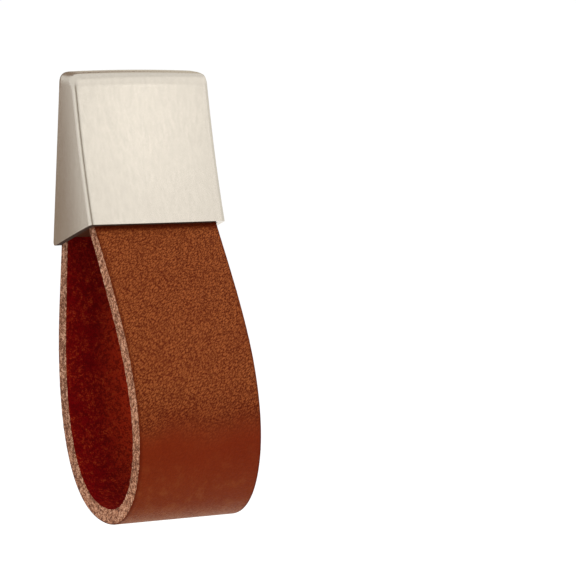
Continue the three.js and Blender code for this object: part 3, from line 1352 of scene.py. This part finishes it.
    def _boss(self) -> bpy.types.Object:
        """Models the boss with its plain bore, cut off inside the front wall.

        Returns:
            The boss as a closed solid.
        """
        profile = self.profile
        reach = profile.lip_out
        widening = math.tan(self.boss_draft)
        chamfer = self.boss_chamfer
        tip = profile.front_depth(0) - self.bore_floor
        bore_end = tip - self.bore_radius * math.tan(self.drill_slope)
        outline = [
            (0, -reach),
            (self.boss_radius + reach * widening, -reach),
            (self.boss_radius + chamfer * widening, -chamfer),
            (self.boss_radius - chamfer, 0),
            (self.bore_radius + self.lead_in, 0),
            (self.bore_radius, -self.lead_in),
            (self.bore_radius, -bore_end),
            (0, -tip),
        ]
        boss = start_outline("boss", [Vector((x, y, 0)) for x, y in outline])
        buried = profile.wall / 2
        upward = profile.front_upward(0, buried)
        with Editing(boss) as edit:
            edit.everything()
            bpy.ops.mesh.spin(
                steps=self.turned_steps, angle=math.tau, center=(0, 0, 0), axis=(0, 1, 0)
            )
            edit.merge()
            edit.face_outwards()
            bpy.ops.mesh.bisect(
                plane_co=place(0, Vector((profile.front_depth(0, buried), 0))),
                plane_no=(0, -upward.y, -upward.x),
                use_fill=True,
                clear_outer=True,
                threshold=NEAR,
            )
        return boss

    def _thread(self) -> bpy.types.Object:
        """Models the thread's ridge as one screw-shaped rib, bedded in the bore.

        Returns:
            The ridge as a closed solid.
        """
        root = self.bore_radius + self.thread_bed
        start = -self.lead_in / 2
        half = self.thread_pitch * self.thread_flank
        crest = self.thread_pitch * self.thread_crest
        outline = [
            (root, start),
            (root, start - 2 * half),
            (self.thread_core, start - half - crest),
            (self.thread_core, start - half + crest),
            (root, start),
        ]
        thread = start_outline("thread", [Vector((x, y, 0)) for x, y in outline])
        with Editing(thread) as edit:
            edit.merge()
        apply_modifier(
            thread,
            "SCREW",
            axis="Y",
            angle=math.tau,
            screw_offset=-self.thread_pitch,
            iterations=self.thread_turns,
            steps=self.turned_steps // 2,
            render_steps=self.turned_steps // 2,
            use_merge_vertices=False,
        )
        with Editing(thread) as edit:
            edit.merge()
            for end in (start, start - self.thread_pitch * self.thread_turns):
                low, high = end - 2 * half - NEAR, end + NEAR
                edit.vertices(lambda co: abs(co.z) < NEAR and co.x > 0 and low < co.y < high)
                bpy.ops.mesh.edge_face_add()
            edit.face_outwards()
        return thread


@dataclass(frozen=True)
class Knot:
    """One knot of the strap's side view: its place and its tangent lengths before and after."""

    point: Vector
    direction: Vector
    before: float
    after: float


@dataclass
class LeatherStrap:
    """The one strip of leather, bent to a drop and punched near both ends, in millimetres."""

    UV_NAME = "along_and_across"

    profile: CapProfile
    width: float = 23.0
    thickness: float = 2.5
    pinched: float = 2.1
    recovery: float = 13.0
    past_hole: float = 6.5
    peel: float = 1.8
    leaving_lean: float = math.radians(37)
    leaving_tangent: float = 8.1
    back_straight: float = 10.0
    back_tangent: float = 16.1
    loop_depth: float = 28.9
    loop_belly: float = 36.0
    belly_tangents: Range = (5.5, 13.6)
    loop_drop: float = 48.7
    loop_drop_depth: float = 18.2
    drop_tangents: Range = (13.5, 8.4)
    fit: float = 0.3
    hole_radius: float = 3.7
    hole_draft: float = math.radians(2)
    hole_steps: int = 96
    curve_steps: int = 96
    edge_steps: int = 7
    grain_arris: float = 0.22
    flesh_arris: float = 0.10
    raggedness: float = 0.24
    ragged_size: float = 0.45
    right_spread: float = 0.42
    squeeze_share: float = 0.4
    squeeze_reach: float = 14.0
    spread_fade: Range = (24.0, 42.0)

    def build(self, groups: NodeGroups) -> bpy.types.Object:
        """Models the strap and dresses it.

        Args:
            groups: the shared node groups.

        Returns:
            The finished strap.
        """
        strap = self._ribbon()
        self._thicken(strap)
        combine(strap, self._punch(), "DIFFERENCE")
        self._round_arrises(strap)
        self._roughen_cut(strap)
        self._spread(strap)
        bring_to_metres(strap)
        shade(strap, sharp_from=50, flat=False)
        finishes = (GrainLeather(groups), FleshLeather(groups), CutLeather(groups))
        dress(strap, *(finish.material() for finish in finishes))
        return strap

    def _knots(self) -> list[Knot]:
        """Gives the outer face in side view.

        Returns:
            Its knots from the rear end round the loop to the front end.
        """
        profile = self.profile
        down, outward, upward = Vector((0, -1)), Vector((1, 0)), Vector((0, 1))
        leaving = Vector((-math.sin(self.leaving_lean), math.cos(self.leaving_lean)))
        behind = profile.wall + self.fit
        back_flat = Vector((0, profile.mouth_up(0) - self.back_straight))
        drop = Vector((self.loop_drop_depth, profile.lip_up - self.loop_drop))
        belly = Vector((self.loop_depth, profile.lip_up - self.loop_belly))
        mouth = profile.lip + profile.mouth_inward * behind
        seat_up = mouth.y + self.peel
        seat = Vector((profile.front_depth(seat_up, behind), seat_up))
        end_up = self.past_hole * profile.front_upward(0, behind).y
        end = Vector((profile.front_depth(end_up, behind), end_up))
        straight = (self.past_hole - back_flat.y) / 3
        seated = (end - seat).length / 3
        return [
            Knot(Vector((0, self.past_hole)), down, straight, straight),
            Knot(back_flat, down, straight, self.back_tangent),
            Knot(drop, outward, *self.drop_tangents),
            Knot(belly, upward, *self.belly_tangents),
            Knot(mouth, leaving, self.leaving_tangent, self.peel / 3),
            Knot(seat, profile.front_upward(seat_up, behind), self.peel / 3, seated),
            Knot(end, profile.front_upward(end_up, behind), seated, seated),
        ]

    def _ribbon(self) -> bpy.types.Object:
        """Models the outer face as a curve that is made a mesh and extruded across.

        Returns:
            The face as a sheet with its UV map.
        """
        curve = add_primitive(
            bpy.ops.curve.primitive_bezier_curve_add, "strap_leather", location=(0, 0, 0)
        )
        spline = curve.data.splines[0]
        knots = self._knots()
        spline.bezier_points.add(len(knots) - len(spline.bezier_points))
        spline.resolution_u = self.curve_steps
        left = -self.width / 2
        for knot, point in zip(knots, spline.bezier_points):
            point.handle_left_type = point.handle_right_type = "FREE"
            point.co = place(left, knot.point)
            point.handle_left = place(left, knot.point - knot.direction * knot.before)
            point.handle_right = place(left, knot.point + knot.direction * knot.after)
        make_active(curve)
        bpy.ops.object.convert(target="MESH")
        ribbon = bpy.context.active_object
        lengths = self._lengths(ribbon)
        with Editing(ribbon) as edit:
            edit.everything()
            bpy.ops.mesh.extrude_region_move(TRANSFORM_OT_translate={"value": (self.width, 0, 0)})
            edit.face_outwards()
        self._unroll(ribbon, lengths)
        return ribbon

    def _lengths(self, chain: bpy.types.Object) -> dict[tuple[float, float], float]:
        """Measures along the chain.

        Args:
            chain: the outer face as a chain of edges, in order from the rear end.

        Returns:
            The length from the front end, in millimetres, by rounded (y, z).
        """
        places = [vertex.co.copy() for vertex in chain.data.vertices]
        run, total = [0.0], 0.0
        for before, after in zip(places, places[1:]):
            total += (after - before).length
            run.append(total)
        return {self._key(spot): total - length for spot, length in zip(places, run)}

    def _key(self, spot: Vector) -> tuple[float, float]:
        """Gives the rounded (y, z) of a place, by which lengths are looked up."""
        return (round(spot.y, 3), round(spot.z, 3))

    def _unroll(
        self, ribbon: bpy.types.Object, lengths: Mapping[tuple[float, float], float]
    ) -> None:
        """Gives the ribbon a UV map in metres: back from the front end, and across.

        Args:
            ribbon: the outer face.
            lengths: the length from the front end by rounded (y, z).
        """
        layer = ribbon.data.uv_layers.new(name=self.UV_NAME)
        for loop in ribbon.data.loops:
            spot = ribbon.data.vertices[loop.vertex_index].co
            along, across = lengths[self._key(spot)], spot.x + self.width / 2
            layer.data[loop.index].uv = (along * MILLIMETRE, across * MILLIMETRE)

    def _thicken(self, ribbon: bpy.types.Object) -> None:
        """Gives the ribbon its thickness, less where the cap squeezes it, and its cut edges.

        Args:
            ribbon: the outer face, which becomes the strap.
        """

        def share(vertex: bpy.types.MeshVertex) -> float:
            """Gives a vertex's share of the full thickness.

            Args:
                vertex: a vertex of the outer face.

            Returns:
                The share.
            """
            swollen = clamped(self.profile.below_mouth(vertex.co) / self.recovery)
            swollen = swollen * swollen * (3 - 2 * swollen)
            return (self.pinched + (self.thickness - self.pinched) * swollen) / self.thickness

        belly_from = 20  # millimetres from the door, where only the front of the loop is
        belly = [face for face in ribbon.data.polygons if -face.center.y > belly_from]
        faces_outwards = sum(face.normal.y for face in belly) < 0
        dress(ribbon, *(None for _ in StrapFace))
        apply_modifier(
            ribbon,
            "SOLIDIFY",
            thickness=self.thickness,
            offset=-1.0 if faces_outwards else 1.0,
            use_even_offset=True,
            vertex_group=weigh(ribbon, "thickness", share),
            material_offset=StrapFace.FLESH,
            material_offset_rim=StrapFace.CUT,
        )

    def _punch(self) -> bpy.types.Object:
        """Models the punch: a cone along the screw axis, through both layers.

        Returns:
            The punch as a closed solid.
        """
        length = self.profile.lip_out
        into_door = 2.0
        widening = (length + into_door) * math.tan(self.hole_draft)
        punch = add_primitive(
            bpy.ops.mesh.primitive_cone_add,
            "punch",
            vertices=self.hole_steps,
            radius1=self.hole_radius,
            radius2=self.hole_radius + widening,
            depth=length + into_door,
            location=(0, (into_door - length) / 2, 0),
            rotation=(math.radians(90), 0, 0),
        )
        bpy.ops.mesh.uv_texture_remove()
        bpy.ops.object.transform_apply(location=True, rotation=True, scale=True)
        dress(punch, *(None for _ in StrapFace))
        mark(punch, StrapFace.CUT)
        return punch

    def _round_arrises(self, strap: bpy.types.Object) -> None:
        """Splits the long cut edges across their thickness and rounds both arrises.

        Args:
            strap: the strap.
        """
        half = self.width / 2

        def joins(edge: bmesh.types.BMEdge, *faces: StrapFace) -> bool:
            """Tells whether an edge of a long side lies between just these kinds of face."""
            kinds = {linked.material_index for linked in edge.link_faces}
            return on_side(edge, half) and kinds == set(faces)

        with Editing(strap) as edit:
            edit.edges(lambda edge: joins(edge, StrapFace.CUT, StrapFace.GRAIN))
            bpy.ops.mesh.bevel(offset=self.grain_arris, segments=3, material=StrapFace.GRAIN)
            edit.edges(lambda edge: joins(edge, StrapFace.CUT, StrapFace.FLESH))
            bpy.ops.mesh.bevel(offset=self.flesh_arris, segments=2, material=StrapFace.CUT)
            edit.edges(
                lambda edge: joins(edge, StrapFace.CUT)
                and len(edge.link_faces) == 2
                and edge.calc_length() > self.pinched / 2
            )
            bpy.ops.mesh.subdivide(number_cuts=self.edge_steps)

    def _roughen_cut(self, strap: bpy.types.Object) -> None:
        """Makes the long cut edges slightly ragged, by a fine clouds texture.

        Args:
            strap: the strap.
        """
        side_from = self.width / 2 - self.flesh_arris - NEAR
        cut = {
            index
            for face in strap.data.polygons
            if face.material_index == StrapFace.CUT
            for index in face.vertices
        }

        def share(vertex: bpy.types.MeshVertex) -> float:
            """Gives 1 on a long cut edge and 0 elsewhere."""
            return float(vertex.index in cut and abs(vertex.co.x) > side_from)

        clouds = bpy.data.textures.new("Torn fibres", "CLOUDS")
        clouds.noise_scale = self.ragged_size
        clouds.noise_depth = 3
        group = weigh(strap, "cut", share)
        ragged = {"mid_level": 0.5, "texture": clouds, "texture_coords": "LOCAL"}
        displace(strap, group, self.raggedness, "NORMAL", **ragged)

    def _spread(self, strap: bpy.types.Object) -> None:
        """Spreads the front branch's right edge, most in the mouth, where the cap squeezes it.

        Args:
            strap: the strap.
        """
        start, end = self.spread_fade

        def share(vertex: bpy.types.MeshVertex) -> float:
            """Gives how far a vertex of the front branch moves to the right.

            Args:
                vertex: a vertex of the strap.

            Returns:
                The share, 0 on the back run and left of the middle.
            """
            if -vertex.co.y <= self.profile.lip_out / 2:
                return 0.0
            below = self.profile.below_mouth(vertex.co)
            squeezed = clamped(1 - below / self.squeeze_reach)
            hanging = clamped((end - below) / (end - start))
            moved = self.squeeze_share * squeezed * squeezed + (1 - self.squeeze_share) * hanging
            across = max(vertex.co.x, 0.0) / (self.width / 2)
            return moved * across

        displace(strap, weigh(strap, "spread", share), self.right_spread, "X")


@dataclass
class SpacerWedge:
    """The cast wedge between the strap's ends, from a merged copy of its CAD solid."""

    node: str = "spacer"
    edge_round: float = 0.22 * MILLIMETRE

    def build(self, nodes: Mapping[str, bpy.types.Object], groups: NodeGroups) -> bpy.types.Object:
        """Softens the wedge's edges and dresses it.

        Args:
            nodes: the frame's CAD nodes by name.
            groups: the shared node groups.

        Returns:
            The finished wedge.
        """
        bpy.ops.object.select_all(action="DESELECT")
        wedge = nodes[self.node].copy()
        wedge.data = nodes[self.node].data.copy()
        wedge.name = "spacer_wedge"
        bpy.context.collection.objects.link(wedge)
        wedge.data.materials.clear()
        with Editing(wedge) as edit:
            edit.everything()
            bpy.ops.mesh.remove_doubles(threshold=NEAR * MILLIMETRE)
            bpy.ops.mesh.dissolve_limited(angle_limit=math.radians(1))
        apply_modifier(
            wedge,
            "BEVEL",
            width=self.edge_round,
            segments=3,
            limit_method="ANGLE",
            angle_limit=math.radians(50),
        )
        shade(wedge, sharp_from=35)
        # Painted shade and a painted reflection of the leather: the wedge is dark brown and dull.
        finish = PlatedCasting(
            groups, "Cast zinc in painted shade", (0.090, 0.028, 0.013), roughness=0.6, metallic=0.0, specular=0.03
        )
        dress(wedge, finish.material())
        return wedge


# Camera and studio, in metres.


@dataclass(frozen=True)
class PhotoCamera:
    """The photograph's camera: a long lens from the left front, a little above."""

    azimuth: float = math.radians(33.24)
    elevation: float = math.radians(8.37)
    roll: float = math.radians(2.77)
    distance: float = 0.500
    focal_pixels: float = 2956.5
    picture: float = 576.0
    sensor: float = 36.0
    anchor: Vector = field(default_factory=lambda: Vector((0, 0, -0.0093)))
    anchor_pixel: tuple[float, float] = (122.22, 213.20)

    def build(self) -> None:
        """Adds the camera so that the anchor lands on its pixel, and makes it the scene's."""
        a, e = self.azimuth, self.elevation
        right = Vector((math.cos(a), -math.sin(a), 0))
        up = Vector((math.sin(a) * math.sin(e), math.cos(a) * math.sin(e), math.cos(e)))
        back = Vector((-math.sin(a) * math.cos(e), -math.cos(a) * math.cos(e), math.sin(e)))
        c, s = math.cos(self.roll), math.sin(self.roll)
        right, up = right * c + up * s, up * c - right * s
        per_pixel = self.distance / self.focal_pixels
        aside = (self.anchor_pixel[0] - self.picture / 2) * per_pixel
        above = (self.picture / 2 - self.anchor_pixel[1]) * per_pixel
        spot = self.anchor - right * aside - up * above + back * self.distance
        data = bpy.data.cameras.new("Photo camera")
        data.sensor_width = self.sensor
        data.lens = self.focal_pixels / self.picture * self.sensor
        data.clip_start = 0.01
        camera = bpy.data.objects.new("Photo camera", data)
        bpy.context.collection.objects.link(camera)
        turned = Matrix((right, up, back)).transposed().to_4x4()
        camera.matrix_world = Matrix.Translation(spot) @ turned
        bpy.context.scene.camera = camera


@dataclass(frozen=True)
class SoftLamp:
    """One square soft box, aimed at the knob."""

    name: str
    spot: Vector
    size: float
    power: float
    mirrored: bool = True
    target: Vector = field(default_factory=lambda: Vector((0, -0.012, -0.02)))

    def build(self) -> None:
        """Adds the lamp."""
        data = bpy.data.lights.new(self.name, "AREA")
        data.shape = "SQUARE"
        data.size = self.size
        data.energy = self.power
        lamp = bpy.data.objects.new(self.name, data)
        bpy.context.collection.objects.link(lamp)
        lamp.visible_glossy = self.mirrored
        lamp.location = self.spot
        lamp.rotation_euler = (self.target - self.spot).to_track_quat("-Z", "Y").to_euler()


@dataclass(frozen=True)
class GreyCard:
    """A card that only reflections see, as a photographer sets one beside bright metal."""

    name: str
    spot: Vector
    width: float
    height: float
    tone: Color
    lean: float = 0.0
    target: Vector = field(default_factory=lambda: Vector((0, -0.006, 0.003)))

    def build(self) -> None:
        """Adds the card with its plain tone."""
        card = add_primitive(
            bpy.ops.mesh.primitive_plane_add, self.name, size=1, location=self.spot
        )
        facing = (self.target - self.spot).to_track_quat("Z", "Y")
        card.rotation_euler = (facing @ Quaternion((0, 0, 1), self.lean)).to_euler()
        card.scale = (self.width, self.height, 1)
        material, wiring = start_material(self.name, self.tone)
        glow = wiring.add("ShaderNodeEmission", {"Color": self.tone})
        wiring.add("ShaderNodeOutputMaterial", {"Surface": glow.outputs[0]})
        card.data.materials.append(material)
        for ray in ("camera", "diffuse", "transmission", "shadow", "volume_scatter"):
            setattr(card, f"visible_{ray}", False)


@dataclass(frozen=True)
class Studio:
    """A pale floor, a white background and soft light."""

    floor_up: float = -0.16
    floor_size: float = 30.0
    floor_tone: float = 0.92
    room_light: float = 0.75
    floor_lift: float = 0.32

    def build(self) -> None:
        """Adds the world, the floor, the lamps and the cards."""
        self._world()
        self._floor()
        for lamp in (
            SoftLamp("Key", Vector((-0.15, -0.60, 0.72)), 0.50, 3.6, mirrored=False),
            SoftLamp("Front soft box", Vector((0.385, -0.60, 0.320)), 0.09, 0.034),
            SoftLamp("Left soft box", Vector((-0.60, -0.06, 0.08)), 0.16, 0.05),
        ):
            lamp.build()
        for card in (
            GreyCard(
                "Rear card",
                Vector((-0.080, 0.30, -0.07)),
                0.25,
                0.80,
                (0.31, 0.232, 0.178),
                lean=math.radians(-30),
                target=Vector((-0.080, 0, -0.07)),
            ),
            GreyCard("Upper rear card", Vector((0.30, 0.36, 0.16)), 0.40, 0.34, (0.68, 0.62, 0.52)),
            GreyCard("Camera side card", Vector((-0.10, -0.49, 0.16)), 0.34, 0.50, (0.40, 0.36, 0.31)),
            GreyCard("High soft card", Vector((0.42, -0.28, 0.50)), 0.66, 0.38, (1.24, 1.24, 1.24)),
        ):
            card.build()

    def _world(self) -> None:
        """Makes the background white for the camera, and the light on the knob plain."""
        world = bpy.data.worlds.new("Studio")
        world.use_nodes = True
        wiring = Wiring(world.node_tree)
        added_light = 1.0 - self.room_light
        strength = wiring.math("MULTIPLY_ADD", wiring.seen(), added_light, self.room_light)
        sky = wiring.add("ShaderNodeBackground", {"Color": (1.0, 1.0, 1.0), "Strength": strength})
        wiring.add("ShaderNodeOutputWorld", {"Surface": sky.outputs[0]})
        bpy.context.scene.world = world

    def _floor(self) -> None:
        """Adds the floor, which shows from above only."""
        floor = add_primitive(
            bpy.ops.mesh.primitive_plane_add,
            "studio_floor",
            size=self.floor_size,
            location=(0, 0, self.floor_up),
        )
        tone = (self.floor_tone,) * 3
        material, wiring = start_material("Pale floor", tone)
        paint = wiring.add("ShaderNodeBsdfDiffuse", {"Color": tone})
        lift = wiring.math("MULTIPLY", wiring.seen(), self.floor_lift)
        glow = wiring.add("ShaderNodeEmission", {"Strength": lift})
        both = wiring.add("ShaderNodeAddShader", {0: paint.outputs[0], 1: glow.outputs[0]})
        clear = wiring.add("ShaderNodeBsdfTransparent")
        below = wiring.add("ShaderNodeNewGeometry").outputs["Backfacing"]
        one_way = wiring.add(
            "ShaderNodeMixShader", {0: below, 1: both.outputs[0], 2: clear.outputs[0]}
        )
        wiring.add("ShaderNodeOutputMaterial", {"Surface": one_way.outputs[0]})
        floor.data.materials.append(material)


@contextmanager
def measured() -> Iterator[None]:
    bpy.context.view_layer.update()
    yield
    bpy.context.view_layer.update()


def main() -> None:
    """Loads the frame, then builds the knob's pieces, the camera and the studio."""
    logging.basicConfig(level=logging.INFO, format="%(name)s: %(message)s")
    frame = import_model()
    with measured():
        bpy.context.scene.view_settings.view_transform = "Standard"
        groups = NodeGroups()
        profile = CapProfile()
        keep(MetalCap(profile).build(groups), Slot.NICKEL, "cap")
        keep(LeatherStrap(profile).build(groups), Slot.LEATHER, "strap")
        keep(SpacerWedge().build(frame["nodes"], groups), Slot.ZINC, "spacer")
        PhotoCamera().build()
        Studio().build()


if __name__ == "__main__":
    main()
